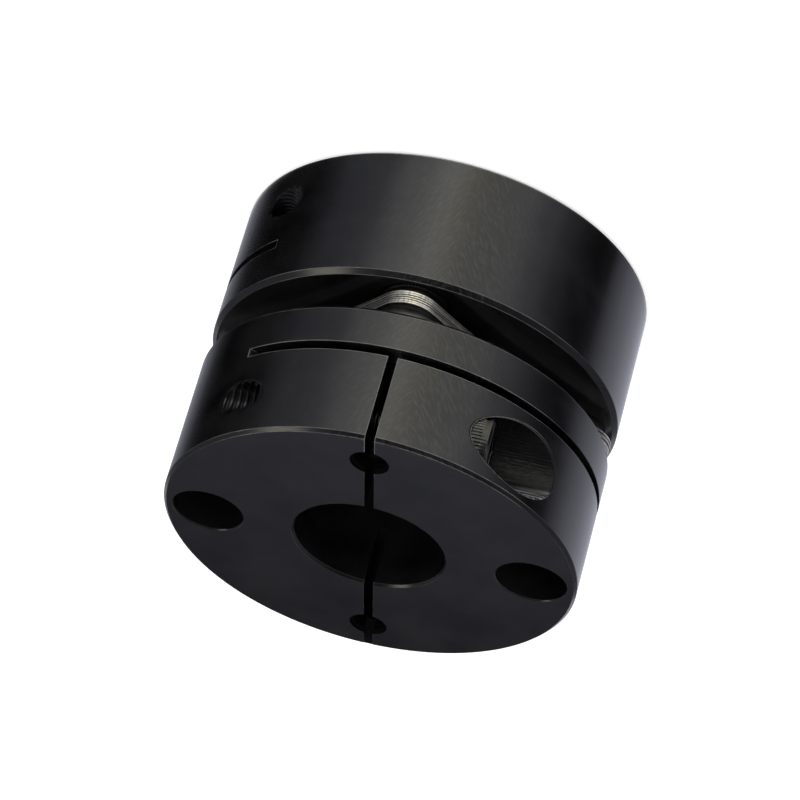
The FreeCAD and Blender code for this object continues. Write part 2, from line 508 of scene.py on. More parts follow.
    def swirl(self, nodes: NodeTree, position: dict[str, Socket]) -> Socket:
        """Fine slanting marks on the front of the rim, the other way round on either side; their lighter
        colour, kept to the front, is partly a painted sheen.

        Args:
            nodes: The material's tree.
            position: The point, from NodeTree.position.

        Returns:
            The strength of the marks, from 0 to 1.
        """
        across = nodes.math("ABSOLUTE", nodes.math("SUBTRACT", position["X"], self.swirl_place))
        other_side = nodes.math("LESS_THAN", position["X"], self.swirl_place)
        depth = nodes.math("MULTIPLY_ADD", other_side, 2 * self.rim_radius, position["Y"])
        mirrored = nodes.add("CombineXYZ")
        for name, value in (("X", across), ("Y", depth), ("Z", position["Z"])):
            nodes.link(nodes.math("MULTIPLY", value, MM), mirrored.inputs[name])
        strokes = nodes.noise(nodes.place(self.swirl_size, self.swirl_slant_deg, mirrored.outputs["Vector"]))
        front = nodes.spread(position["Y"], *(-self.rim_radius * share for share in self.swirl_front))
        near = nodes.spread(across, self.swirl_reach, self.swirl_reach / 3, self.far_swirl)
        return nodes.product(front, near, nodes.spread(strokes, *self.swirl_zone))

    def lining(self, name: str) -> Coat:
        """Builds a darker, duller copy of the hub's coat for the small threads in the end faces: painted
        shade.

        Args:
            name: The material's name.

        Returns:
            The lining's coat.
        """
        material = bpy.data.materials.new(name)
        nodes = NodeTree(material)
        grain = nodes.noise(nodes.place((self.lining_grain_size,) * 3))
        nodes.principled({
            "IOR": self.lining_refraction,
            "Base Color": (*self.lining_colour, 1),
            "Roughness": nodes.spread(grain, *MOST_OF_NOISE, *self.lining_roughness),
        })
        return Coat(material, self.slot)

    def bore_marks(self, nodes: NodeTree, position: dict[str, Socket],
                   screw: "CapScrew") -> dict[str, Socket]:
        """Uneven marks that the plunging cutter leaves along the clamp screw's counterbore, with a painted
        highlight near its mouth and painted shade further in.

        Args:
            nodes: The material's tree.
            position: The point, from NodeTree.position.
            screw: The clamp screw in that counterbore.

        Returns:
            By name: inside, 1 in the counterbore; marks, the height of its marks; the painted highlight,
            where the marks near the mouth are painted bright; the painted shade, where the counterbore is
            painted darker away from that; and threaded, 1 round the screw's thread.
        """
        centre = screw.seat()
        along_x = screw.direction in (Direction.LEFT, Direction.RIGHT)
        names, places = ("XY", (centre.x, centre.y)) if along_x else ("YX", (centre.y, centre.x))
        along, across = (nodes.math("SUBTRACT", position[name], place) for name, place in zip(names, places))
        above = nodes.math("SUBTRACT", position["Z"], centre.z)
        from_axis = nodes.distance(across, above)
        to_head = nodes.math("MULTIPLY", along, -sum(screw.direction.value))
        inside = nodes.product(nodes.math("LESS_THAN", from_axis, self.counterbore_reach),
                               nodes.math("GREATER_THAN", to_head, -self.seat_ease))
        threaded = nodes.product(nodes.math("LESS_THAN", from_axis, self.thread_reach),
                                 nodes.math("LESS_THAN", to_head, -self.seat_ease))
        fine, free = self.bore_mark_size
        place = nodes.place((free, fine, fine) if along_x else (fine, free, fine))
        marks = nodes.noise(place, detail=3.0, roughness=0.6)
        outward = nodes.math("MULTIPLY", above, 1.0 if centre.z > self.half_height else -1.0)
        near_mouth = nodes.product(to_head, nodes.spread(outward, *self.roof_zone))
        # Painted highlight: marks near the mouth, on the side towards the hub's end, are painted bright.
        painted_highlight = nodes.product(nodes.spread(near_mouth, *self.highlight_zone),
                              nodes.spread(marks, *self.highlighted_marks), inside)
        # Painted shade: 1 in the counterbore away from the bright side of its mouth.
        painted_shade = nodes.product(inside, nodes.spread(near_mouth, *self.painted_shade_zone))
        return {"inside": inside, "marks": marks, "painted_highlight": painted_highlight, "painted_shade": painted_shade, "threaded": threaded}


@dataclass(frozen=True)
class SteelFinish:
    """Bare or blackened steel with fine scratches, and edges painted lighter: partly wear, partly painted
    glints.
    """

    name: str
    slot: str
    colour: Colour
    dark_colour: Colour
    edge_colour: Colour
    roughness: Pair
    edge_radius: float = 0.05
    edge_samples: int = 4
    cloud_size: float = 1.6
    grain_size: float = 0.12
    grain_relief: Pair = (0.003, 0.3)

    def coat(self) -> Coat:
        """Builds the finish.

        Returns:
            The coat.
        """
        material = bpy.data.materials.new(self.name)
        nodes = NodeTree(material)
        rounded, edge = nodes.edges(self.edge_radius, self.edge_samples)
        cloud = nodes.noise(nodes.place((self.cloud_size,) * 3), detail=3.0, roughness=0.6)
        grain = nodes.noise(nodes.place((self.grain_size,) * 3))
        body = nodes.blend(nodes.spread(cloud, *MIDDLE_OF_NOISE), self.dark_colour, self.colour)
        nodes.principled({
            "Metallic": 1.0,
            # Edges painted lighter: partly wear, partly painted glints on crests and chamfers.
            "Base Color": nodes.blend(edge, body, self.edge_colour),
            "Roughness": nodes.spread(cloud, *MOST_OF_NOISE, *self.roughness),
            "Normal": nodes.bump(grain, *self.grain_relief, rounded),
        })
        return Coat(material, self.slot)


@dataclass(frozen=True)
class LeafFinish:
    """Rolled spring steel, with coarser cut edges and darker lines along the joints between the leaves."""

    name: str = "spring_steel"
    slot: str = "disc_steel"
    face_colour: Colour = (0.64, 0.62, 0.58)
    edge_colour: Colour = (0.97, 0.94, 0.86)
    streak_colour: Colour = (0.6, 0.56, 0.47)
    joint_colour: Colour = (0.035, 0.032, 0.026)
    face_roughness: Pair = (0.2, 0.32)
    edge_roughness: Pair = (0.46, 0.34)
    edge_normal: Pair = (0.9, 0.6)
    rolling_size: Sizes = (12.0, 0.06, 1.0)
    rolling_relief: Pair = (0.001, 0.2)
    streak_size: Sizes = (0.14, 0.14, 0.9)
    streak_relief: Pair = (0.004, 0.4)
    streak_zone: Pair = (0.35, 0.6)
    leaf_thickness: float = 0.25
    pack_middle: float = 17.25
    pack_half: float = 0.75
    joint_zone: Pair = (0.045, 0.012)
    middle_joint_zone: Pair = (0.1, 0.05)
    outer_zone: Pair = (0.06, 0.12)
    patch_size: Sizes = (1.2, 1.2, 0.25)
    patch_zone: Pair = (0.3, 0.6)
    least_joint_darkening: float = 0.35

    def coat(self) -> Coat:
        """Builds the finish.

        Returns:
            The coat.
        """
        material = bpy.data.materials.new(self.name)
        nodes = NodeTree(material)
        parts = nodes.add("SeparateXYZ")
        nodes.link(nodes.add("NewGeometry").outputs["True Normal"], parts.inputs["Vector"])
        upright = nodes.spread(nodes.math("ABSOLUTE", parts.outputs["Z"]), *self.edge_normal)
        rolling = nodes.noise(nodes.place(self.rolling_size))
        streaks = nodes.noise(nodes.place(self.streak_size))
        cut = nodes.blend(nodes.spread(streaks, *self.streak_zone), self.streak_colour, self.edge_colour)
        colour = nodes.blend(upright, self.face_colour, cut)
        face_gloss = nodes.spread(rolling, *MOST_OF_NOISE, *self.face_roughness)
        edge_gloss = nodes.spread(streaks, *MOST_OF_NOISE, *self.edge_roughness)
        difference = nodes.math("SUBTRACT", edge_gloss, face_gloss)
        relief = nodes.bump(nodes.product(streaks, upright), *self.streak_relief)
        nodes.principled({
            "Metallic": 1.0,
            # Darker lines along the leaves' joints, widest at the middle one.
            "Base Color": nodes.blend(self.joints(nodes), colour, self.joint_colour),
            "Roughness": nodes.math("MULTIPLY_ADD", upright, difference, face_gloss),
            "Normal": nodes.bump(rolling, *self.rolling_relief, relief),
        })
        return Coat(material, self.slot)

    def joints(self, nodes: NodeTree) -> Socket:
        """Darker lines along the joints between the leaves, widest at the middle one.

        Args:
            nodes: The material's tree.

        Returns:
            The strength of the dark lines, from 0 to 1.
        """
        above_middle = nodes.math("SUBTRACT", nodes.position()["Z"], self.pack_middle)
        from_joint = nodes.math("PINGPONG", above_middle, self.leaf_thickness / 2)
        from_middle = nodes.math("ABSOLUTE", above_middle)
        patches = nodes.noise(nodes.place(self.patch_size))
        within = nodes.spread(from_middle, *(self.pack_half - depth for depth in self.outer_zone))
        line = nodes.product(within, nodes.spread(from_joint, *self.joint_zone),
                             nodes.spread(patches, *self.patch_zone, self.least_joint_darkening))
        return nodes.math("MAXIMUM", line, nodes.spread(from_middle, *self.middle_joint_zone))


def node_box(node: str) -> tuple[Vector, Vector]:
    """Lowest and highest corners of a node, in millimetres."""
    low, high = (Vector(corner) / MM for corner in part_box(node))
    return low, high


def merged_copy(node: bpy.types.Object) -> bmesh.types.BMesh:
    """Copies a node's mesh, in millimetres, with its loose triangles joined.

    Args:
        node: The node's object.

    Returns:
        The copy.
    """
    mesh = bmesh.new()
    mesh.from_mesh(node.data)
    bmesh.ops.scale(mesh, vec=Vector((1, 1, 1)) / MM, verts=mesh.verts)
    bmesh.ops.remove_doubles(mesh, verts=mesh.verts, dist=SAME_PLACE)
    return mesh


def plain_object(mesh: bmesh.types.BMesh, name: str) -> bpy.types.Object:
    """Makes an object from a mesh in millimetres, with its edges sharp where it turns.

    Args:
        mesh: The mesh, which is used up.
        name: The object's name.

    Returns:
        The object, not yet in the scene.
    """
    bmesh.ops.scale(mesh, vec=Vector((MM, MM, MM)), verts=mesh.verts)
    bmesh.ops.recalc_face_normals(mesh, faces=mesh.faces)
    for face in mesh.faces:
        face.smooth = True
    data = bpy.data.meshes.new(name)
    mesh.to_mesh(data)
    mesh.free()
    data.set_sharp_from_angle(angle=SMOOTH_TURN)
    return bpy.data.objects.new(name, data)


def scene_object(name: str, data: bpy.types.ID) -> bpy.types.Object:
    """Makes an object and puts it in the scene.

    Args:
        name: Its name.
        data: Its mesh, lamp or camera.

    Returns:
        The object.
    """
    made = bpy.data.objects.new(name, data)
    bpy.context.scene.collection.objects.link(made)
    return made


def stand_for(piece: bpy.types.Object, coat: Coat, node: str | None = None) -> bpy.types.Object:
    """Puts a finished piece in the scene, in place of a node or beside the nodes.

    Args:
        piece: The piece's object.
        coat: Its finish.
        node: The node that it replaces.

    Returns:
        The piece.
    """
    piece.data.materials.clear()
    piece.data.materials.append(coat.material)
    bpy.context.scene.collection.objects.link(piece)
    if node is not None:
        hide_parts(node)
    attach(piece, BODY)
    log.info("%s: %d faces", piece.name, len(piece.data.polygons))
    return piece


def dress(node: bpy.types.Object, material: bpy.types.Material) -> None:
    """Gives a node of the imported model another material.

    Args:
        node: The node's object.
        material: The material that it gets.
    """
    for slot in node.material_slots:
        slot.link = "OBJECT"
        slot.material = material


def carve(target: bpy.types.Object, cutter: bmesh.types.BMesh, operation: str) -> None:
    """Cuts an object's mesh with another mesh.

    Args:
        target: The object, which isn't in the scene yet.
        cutter: The other mesh, in millimetres, which is used up.
        operation: DIFFERENCE or INTERSECT.
    """
    scene = bpy.context.scene
    tool = plain_object(cutter, "cutter")
    for item in (target, tool):
        scene.collection.objects.link(item)
    cut = target.modifiers.new("cut", "BOOLEAN")
    cut.object = tool
    cut.operation = operation
    cut.solver = "EXACT"
    bpy.context.view_layer.update()
    shaped = bpy.data.meshes.new_from_object(target.evaluated_get(bpy.context.evaluated_depsgraph_get()))
    target.modifiers.clear()
    old = target.data
    target.data = shaped
    bpy.data.meshes.remove(old)
    scene.collection.objects.unlink(target)
    tool_data = tool.data
    bpy.data.objects.remove(tool)
    bpy.data.meshes.remove(tool_data)


def set_radius(vert: bmesh.types.BMVert, radius: float) -> None:
    """Moves a corner straight in or out to a distance from Z.

    Args:
        vert: The corner.
        radius: The distance.
    """
    factor = radius / math.hypot(vert.co.x, vert.co.y)
    vert.co.x *= factor
    vert.co.y *= factor


def set_ring(face: bmesh.types.BMFace, level: float, radius_at: Callable[[float], float]) -> None:
    """Moves a face's corners to a ring about Z.

    Args:
        face: The face.
        level: The ring's height.
        radius_at: Radius of the ring at an angle in radians.
    """
    for vert in face.verts:
        angle = math.atan2(vert.co.y, vert.co.x)
        radius = radius_at(angle)
        vert.co = (radius * math.cos(angle), radius * math.sin(angle), level)


def open_edges(mesh: bmesh.types.BMesh) -> list[bmesh.types.BMEdge]:
    """Edges round the mesh's openings."""
    return [edge for edge in mesh.edges if edge.is_boundary]


@dataclass(frozen=True)
class Thread:
    """Helical thread about Z, as an open surface that others trim and close.

    The corners are where the root ends and where the crest starts and ends, as shares of the pitch.
    """

    root_radius: float
    crest_radius: float
    corners: tuple[float, float, float]
    pitch: float = 0.7
    steps: int = 24

    def wind(self, low: float, high: float) -> bmesh.types.BMesh:
        """Winds the thread and trims it to two levels.

        Args:
            low: The lower level.
            high: The upper level.

        Returns:
            The surface, open at both ends.
        """
        mesh = bmesh.new()
        root, crest = self.root_radius, self.crest_radius
        outline = zip((root, root, crest, crest, root), (0.0, *self.corners, 1.0))
        start = (math.floor(low / self.pitch) - 2) * self.pitch
        turns = math.ceil((high - start) / self.pitch) + 2
        verts = [mesh.verts.new((radius, 0, start + share * self.pitch)) for radius, share in outline]
        edges = [mesh.edges.new(pair) for pair in zip(verts, verts[1:])]
        bmesh.ops.spin(mesh, geom=verts + edges, cent=(0, 0, 0), axis=(0, 0, 1),
                       dvec=(0, 0, self.pitch / self.steps), angle=2 * math.pi * turns,
                       steps=self.steps * turns, use_merge=False, use_duplicate=False)
        bmesh.ops.remove_doubles(mesh, verts=mesh.verts, dist=SAME_PLACE)
        for level, side in ((low, -1), (high, 1)):
            bmesh.ops.bisect_plane(mesh, geom=mesh.verts[:] + mesh.edges[:] + mesh.faces[:],
                                   dist=SAME_PLACE / 10, plane_co=(0, 0, level),
                                   plane_no=(0, 0, side), clear_outer=True)
        return mesh


@dataclass(frozen=True)
class CapScrew:
    """Socket head cap screw with a knurled head and a rolled thread."""

    node: str
    direction: Direction
    head_radius: float = 3.5
    head_height: float = 4.0
    head_chamfer: float = 0.28
    rim_ease: float = 0.07
    rim_break: float = 0.05
    band_radius: float = 3.42
    band_length: float = 1.0
    seat_radius: float = 3.1
    seat_ease: float = 0.35
    knurl_teeth: int = 60
    knurl_depth: float = 0.12
    knurl_run_out: float = 0.1
    key_width: float = 3.0
    key_depth: float = 2.2
    lead_in_width: float = 0.12
    lead_in_depth: float = 0.14
    drill_share: float = 0.48
    drill_depth: float = 0.6
    drill_point: float = 0.12
    crest_radius: float = 1.9
    root_radius: float = 1.48
    thread_corners: tuple[float, float, float] = (0.12, 0.46, 0.66)
    thread_start: float = -0.3
    tip_chamfer: float = 0.5
    plain_shank: float = 0.6
    plain_ease: float = 0.02

    def build(self, coat: Coat) -> bpy.types.Object:
        """Builds the screw where its node is.

        Args:
            coat: The screw's finish.

        Returns:
            The screw's object.
        """
        mesh = self.head()
        shank = self.shank(self.length() - self.head_height)
        data = bpy.data.meshes.new("shank")
        shank.to_mesh(data)
        shank.free()
        mesh.from_mesh(data)
        bpy.data.meshes.remove(data)
        bmesh.ops.transform(mesh, matrix=Matrix.Translation(self.seat()) @ self.direction.turn(),
                            verts=mesh.verts)
        return stand_for(plain_object(mesh, self.node + "_threaded"), coat, self.node)

    def length(self) -> float:
        """Whole length of the screw, from its node."""
        low, high = node_box(self.node)
        return abs((high - low).dot(self.direction.vector))

    def seat(self) -> Vector:
        """Middle of the head's seat in millimetres, from the screw's node."""
        low, high = node_box(self.node)
        return (low + high) / 2 - self.direction.vector * (self.length() / 2 - self.head_height)

    def head(self) -> bmesh.types.BMesh:
        """Makes the head, with its seat at height 0 and its socket below.

        Returns:
            The head's mesh.
        """
        count = 4 * self.knurl_teeth

        def knurl(angle: float) -> float:
            """Radius of the knurl at an angle."""
            step = round(angle / (2 * math.pi) * count) % 4
            return self.head_radius - (self.knurl_depth if step > 1 else 0.0)

        def plain(radius: float) -> Callable[[float], float]:
            """Radius that is the same at every angle."""
            return lambda angle: radius

        def hexagon(angle: float) -> float:
            """Radius of the socket at an angle."""
            from_flat = (angle % (math.pi / 3)) - math.pi / 6
            return self.key_width / 2 / math.cos(from_flat)

        top = -self.head_height
        top_radius = self.band_radius - self.head_chamfer
        band = top + self.band_length
        corner = self.key_width / math.sqrt(3)
        floor = top + self.key_depth
        rings = [
            (-self.seat_ease, knurl),
            (band, knurl),
            (band - self.knurl_run_out, plain(self.band_radius)),
            (top + self.head_chamfer, plain(self.band_radius)),
            (top + self.rim_ease, plain(top_radius + self.rim_ease)),
            (top, plain(top_radius - self.rim_break)),
            (top, plain(corner + self.lead_in_width)),
            (top + self.lead_in_depth, hexagon),
            (floor, hexagon),
            (floor, plain(self.key_width * self.drill_share)),
            (floor + self.drill_depth, plain(self.drill_point)),
        ]
        mesh = bmesh.new()
        bmesh.ops.create_circle(mesh, cap_ends=True, cap_tris=False, segments=count, radius=1.0)
        mesh.faces.ensure_lookup_table()
        face = mesh.faces[0]
        set_ring(face, 0.0, plain(self.seat_radius))
        for level, radius_at in rings:
            face = bmesh.ops.extrude_discrete_faces(mesh, faces=[face])["faces"][0]
            set_ring(face, level, radius_at)
        bmesh.ops.holes_fill(mesh, edges=open_edges(mesh), sides=0)
        return mesh

    def shank(self, length: float) -> bmesh.types.BMesh:
        """Makes the threaded shank, from inside the head to the tip.

        Args:
            length: Length under the head.

        Returns:
            The shank's mesh.
        """
        crest = self.crest_radius
        mesh = Thread(self.root_radius, crest, self.thread_corners).wind(self.thread_start, length)
        for vert in mesh.verts:
            radius = math.hypot(vert.co.x, vert.co.y)
            highest = crest - max(0.0, vert.co.z - (length - self.tip_chamfer))
            lowest = crest - self.plain_ease if vert.co.z < self.plain_shank else 0.0
            set_radius(vert, min(max(radius, lowest), highest))
        bmesh.ops.holes_fill(mesh, edges=open_edges(mesh), sides=0)
        return mesh


@dataclass(frozen=True)
class TappedHole:
    """Internal thread that lines a tapped hole, from its mouth to the screw in it."""

    name: str
    mouth: Vector
    direction: Direction
    length: float
    overshoot: float = 0.0
    slit: Direction | None = None
    slit_depth: float = 0.0
    slit_width: float = 1.0
    lining_radius: float = 2.05
    root_radius: float = 1.93
    crest_radius: float = 1.64
    thread_corners: tuple[float, float, float] = (0.1, 0.4, 0.7)
    mouth_slope: float = 0.8
    rim_radius: float = 21.985
    rim_segments: int = 512
    rim_height: float = 200.0
    cut_size: float = 10.0

    def build(self, coat: Coat) -> bpy.types.Object:
        """Builds the lining.

        Args:
            coat: The lining's finish.

        Returns:
            The lining's object.
        """
        mesh = self.tube()
        place = Matrix.Translation(self.mouth) @ self.direction.turn()
        bmesh.ops.transform(mesh, matrix=place, verts=mesh.verts)
        piece = plain_object(mesh, self.name)
        if self.overshoot:
            carve(piece, self.hub_outside(), "INTERSECT")
        if self.slit is not None:
            carve(piece, self.saw_cut(), "DIFFERENCE")
        piece.data.set_sharp_from_angle(angle=SMOOTH_TURN)
        return stand_for(piece, coat)

    def hub_outside(self) -> bmesh.types.BMesh:
        """Makes the hub's round outside, a hair small, to trim a mouth in the rim.

        Returns:
            The cylinder's mesh.
        """
        mesh = bmesh.new()
        bmesh.ops.create_cone(mesh, cap_ends=True, segments=self.rim_segments, radius1=self.rim_radius,
                              radius2=self.rim_radius, depth=self.rim_height)
        return mesh

    def saw_cut(self) -> bmesh.types.BMesh:
        """Makes the hub's slit where it runs through the hole.

        Returns:
            The box's mesh.
        """
        mesh = bmesh.new()
        bmesh.ops.create_cube(mesh, size=1.0)
        size = Vector((self.cut_size,) * 3)
        for direction, length in ((self.slit, self.slit_width), (self.direction, 2 * self.slit_depth)):
            size += Vector([abs(part) for part in direction.value]) * (length - self.cut_size)
        bmesh.ops.scale(mesh, vec=size, verts=mesh.verts)
        bmesh.ops.translate(mesh, vec=self.mouth, verts=mesh.verts)
        return mesh

    def tube(self) -> bmesh.types.BMesh:
        """Makes the closed lining along Z, with its mouth at height 0.

        Returns:
            The lining's mesh.
        """
        thread = Thread(self.root_radius, self.crest_radius, self.thread_corners)
        mesh = thread.wind(-self.overshoot, self.length)
        if not self.overshoot:
            for vert in mesh.verts:
                radius = math.hypot(vert.co.x, vert.co.y)
                set_radius(vert, max(radius, self.root_radius - self.mouth_slope * vert.co.z))
        made = bmesh.ops.extrude_edge_only(mesh, edges=open_edges(mesh))["geom"]
        for vert in (item for item in made if isinstance(item, bmesh.types.BMVert)):
            set_radius(vert, self.lining_radius)
        loops = [item for item in made if isinstance(item, bmesh.types.BMEdge)]
        bmesh.ops.bridge_loops(mesh, edges=loops)
        return mesh


@dataclass(frozen=True)
class FlexLeaf:
    """One thin steel disc of the pack. Blanking leaves one side with a round edge, the other sharp."""

    number: int
    turn_deg: float
    shift: Pair
    round_side: Direction
    round_radius: float = 0.075
    sharp_radius: float = 0.02

    def build(self, coat: Coat, node: bpy.types.Object) -> bpy.types.Object:
        """Builds the leaf from its node, a hair out of line as in a stacked pack.

        Args:
            coat: The leaf's finish.
            node: The node that it replaces.

        Returns:
            The leaf's object.
        """
        mesh = merged_copy(node)
        bmesh.ops.dissolve_limit(mesh, angle_limit=FLAT_TURN, verts=mesh.verts, edges=mesh.edges,
                                 delimit={"NORMAL"})
        levels = sorted(vert.co.z for vert in mesh.verts)
        radii = (self.sharp_radius, self.round_radius)
        if self.round_side is Direction.DOWN:
            radii = radii[::-1]
        for level, radius in zip((levels[0], levels[-1]), radii):
            edges = [edge for edge in mesh.edges
                     if edge.is_manifold and edge.calc_face_angle() > CORNER_TURN
                     and all(abs(vert.co.z - level) < SAME_PLACE for vert in edge.verts)]
            bmesh.ops.bevel(mesh, geom=edges, offset=radius, offset_type="OFFSET", affect="EDGES",
                            segments=2, profile=0.5, material=-1, clamp_overlap=True)
        bmesh.ops.rotate(mesh, cent=(0, 0, 0), matrix=Matrix.Rotation(math.radians(self.turn_deg), 3, "Z"),
                         verts=mesh.verts)
        bmesh.ops.translate(mesh, vec=Vector((*self.shift, 0)), verts=mesh.verts)
        return stand_for(plain_object(mesh, node.name + "_leaf"), coat, node.name)


@dataclass(frozen=True)
class FlatRing:
    """Turned collar or washer with its edges broken."""

    node: str
    hole_radius: float = 2.1
    edge_break: float = 0.1
    segments: int = 72

    def build(self, coat: Coat) -> bpy.types.Object:
        """Builds the ring where its node is.

        Args:
            coat: The ring's finish.

        Returns:
            The ring's object.
        """
        low, high = node_box(self.node)
        outer = (high.x - low.x) / 2
        half = (high.z - low.z) / 2
        mesh = bmesh.new()
        corners = [(self.hole_radius, -half), (outer, -half), (outer, half), (self.hole_radius, half)]
        verts = [mesh.verts.new((radius, 0, level)) for radius, level in corners]
        edges = [mesh.edges.new(pair) for pair in zip(verts, verts[1:] + verts[:1])]
        bmesh.ops.spin(mesh, geom=verts + edges, cent=(0, 0, 0), axis=(0, 0, 1), dvec=(0, 0, 0),
                       angle=2 * math.pi, steps=self.segments, use_merge=True, use_duplicate=False)
        bmesh.ops.remove_doubles(mesh, verts=mesh.verts, dist=SAME_PLACE)
        sharp = [edge for edge in mesh.edges if edge.calc_face_angle(0.0) > CORNER_TURN]
        bmesh.ops.bevel(mesh, geom=sharp, offset=self.edge_break, offset_type="OFFSET", affect="EDGES",
                        segments=2, profile=0.5, material=-1)
        bmesh.ops.translate(mesh, vec=(low + high) / 2, verts=mesh.verts)
        return stand_for(plain_object(mesh, self.node + "_turned"), coat, self.node)


@dataclass(frozen=True)
class ClampingHub:
    """One clamping hub: its own node dressed, its clamp screw and its tapped holes.

    The lower hub is the upper one turned over and a quarter round. The end holes come in the order
    slit's side, other side.
    """

    name: str
    end: Direction
    end_level: float
    clamp_level: float
    slit_side: Direction
    screw_direction: Direction
    hole_sides: tuple[str, str]
    hole_lengths: Pair = (9.7, 10.9)
    slit_depths: Pair = (10.5, 2.67)
    screw_circle: float = 17.2
    clamp_offset: float = 16.3
    clamp_mouth: float = 14.78
    clamp_length: float = 5.9
    clamp_overshoot: float = 2.4

    def build(self, nodes: dict[str, bpy.types.Object], finish: AnodisedFinish, screw_coat: Coat) -> None:
        """Dresses the hub and builds what is screwed into it.

        Args:
            nodes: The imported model's nodes, by name.
            finish: The hub's finish.
            screw_coat: The clamp screw's finish.
        """
        node = self.name + "_hub"
        screw = CapScrew(self.name + "_clamp_screw", self.screw_direction)
        coat = finish.coat("anodised_" + node, screw)
        # Painted shade: the end-face threads get the darker lining coat.
        lining = finish.lining("dull_" + node)
        dress(nodes[node], coat.material)
        screw.build(screw_coat)
        for hole in self.holes():
            hole.build(coat if hole.slit is None else lining)

    def holes(self) -> list[TappedHole]:
        """Places the clamp screw's tapped hole, across the slit, and the two in the end face.

        Returns:
            The holes.
        """
        to_slit = self.slit_side.vector
        mouth = self.screw_direction.vector * self.clamp_mouth + to_slit * self.clamp_offset
        mouth.z = self.clamp_level
        holes = [TappedHole(self.name + "_clamp_thread", mouth, self.screw_direction.opposite,
                            self.clamp_length, self.clamp_overshoot)]
        for side, away, length, slit_depth in zip(self.hole_sides, (to_slit, -to_slit),
                                                  self.hole_lengths, self.slit_depths):
            mouth = away * self.screw_circle
            mouth.z = self.end_level
            holes.append(TappedHole("%s_%s_thread" % (self.name, side), mouth, self.end.opposite, length,
                                    slit=self.screw_direction, slit_depth=slit_depth))
        return holes


@dataclass(frozen=True)
class PhotoCamera:
    """Camera of the photograph, fitted to the coupling at its real size."""

    azimuth_deg: float = -7.5833
    elevation_deg: float = 30.02
    roll_deg: float = 196.0293
    distance: float = 437.7115
    aim_right: float = -0.8858
    aim_up: float = 0.766
    lens: float = 187.04
    sensor: float = 36.0
    nearest: float = 10.0

    def build(self, centre: Vector) -> bpy.types.Object:
        """Makes the camera and gives it to the scene.

        Args:
            centre: The middle of the coupling, in metres.

        Returns:
            The camera's object.
        """
        azimuth = math.radians(self.azimuth_deg)
        elevation = math.radians(self.elevation_deg)
        backward = Vector((math.sin(azimuth) * math.cos(elevation),
                           -math.cos(azimuth) * math.cos(elevation),
                           math.sin(elevation)))
        level_right = Vector((math.cos(azimuth), math.sin(azimuth), 0))
        level = Matrix((level_right, backward.cross(level_right), backward)).transposed()
        turned = level @ Matrix.Rotation(math.radians(self.roll_deg), 3, "Z")
        place = centre + MM * (backward * self.distance + turned.col[0] * self.aim_right
                               + turned.col[1] * self.aim_up)
        data = bpy.data.cameras.new("photo_camera")
        data.lens = self.lens
        data.sensor_width = self.sensor
        data.clip_start = self.nearest * MM
        camera = scene_object("photo_camera", data)
        camera.matrix_world = Matrix.Translation(place) @ turned.to_4x4()
        bpy.context.scene.camera = camera
        return camera


def sheet_object(mesh: bmesh.types.BMesh, name: str, material: bpy.types.Material) -> bpy.types.Object:
    """Makes a sheet of the surroundings, whose own glow isn't sampled as a lamp.

    Args:
        mesh: The sheet's mesh in metres, which is used up.
        name: The sheet's name.
        material: The sheet's material.

    Returns:
        The sheet's object, in the scene.
    """
    data = bpy.data.meshes.new(name)
    mesh.to_mesh(data)
    mesh.free()
    material.cycles.emission_sampling = "NONE"
    data.materials.append(material)
    return scene_object(name, data)


def glowing_sheet(name: str, rows: Iterable[tuple[Iterable[Vector], Iterable[float]]]) -> bpy.types.Object:
    """Makes a sheet that glows in its rows' colours and that only reflections see.

    Args:
        name: The sheet's name.
        rows: Both ends of each line across the sheet, in millimetres, and the line's colour.

    Returns:
        The sheet's object.
    """
    mesh = bmesh.new()
    paint = mesh.verts.layers.float_color.new("shade")
    previous = None
    for ends, colour in rows:
        row = [mesh.verts.new(MM * end) for end in ends]
        for vert in row:
            vert[paint] = (*colour, 1.0)
        if previous is not None:
            mesh.faces.new((*previous, *reversed(row)))
        previous = row
    material = bpy.data.materials.new(name)
    nodes = NodeTree(material)
    shade = nodes.add("Attribute", attribute_name="shade")
    glow = nodes.add("Emission")
    nodes.link(shade.outputs["Color"], glow.inputs["Color"])
    nodes.finish(glow)
    sheet = sheet_object(mesh, name, material)
    sheet.visible_camera = False
    sheet.visible_diffuse = False
    sheet.visible_shadow = False
    sheet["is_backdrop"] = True
    return sheet


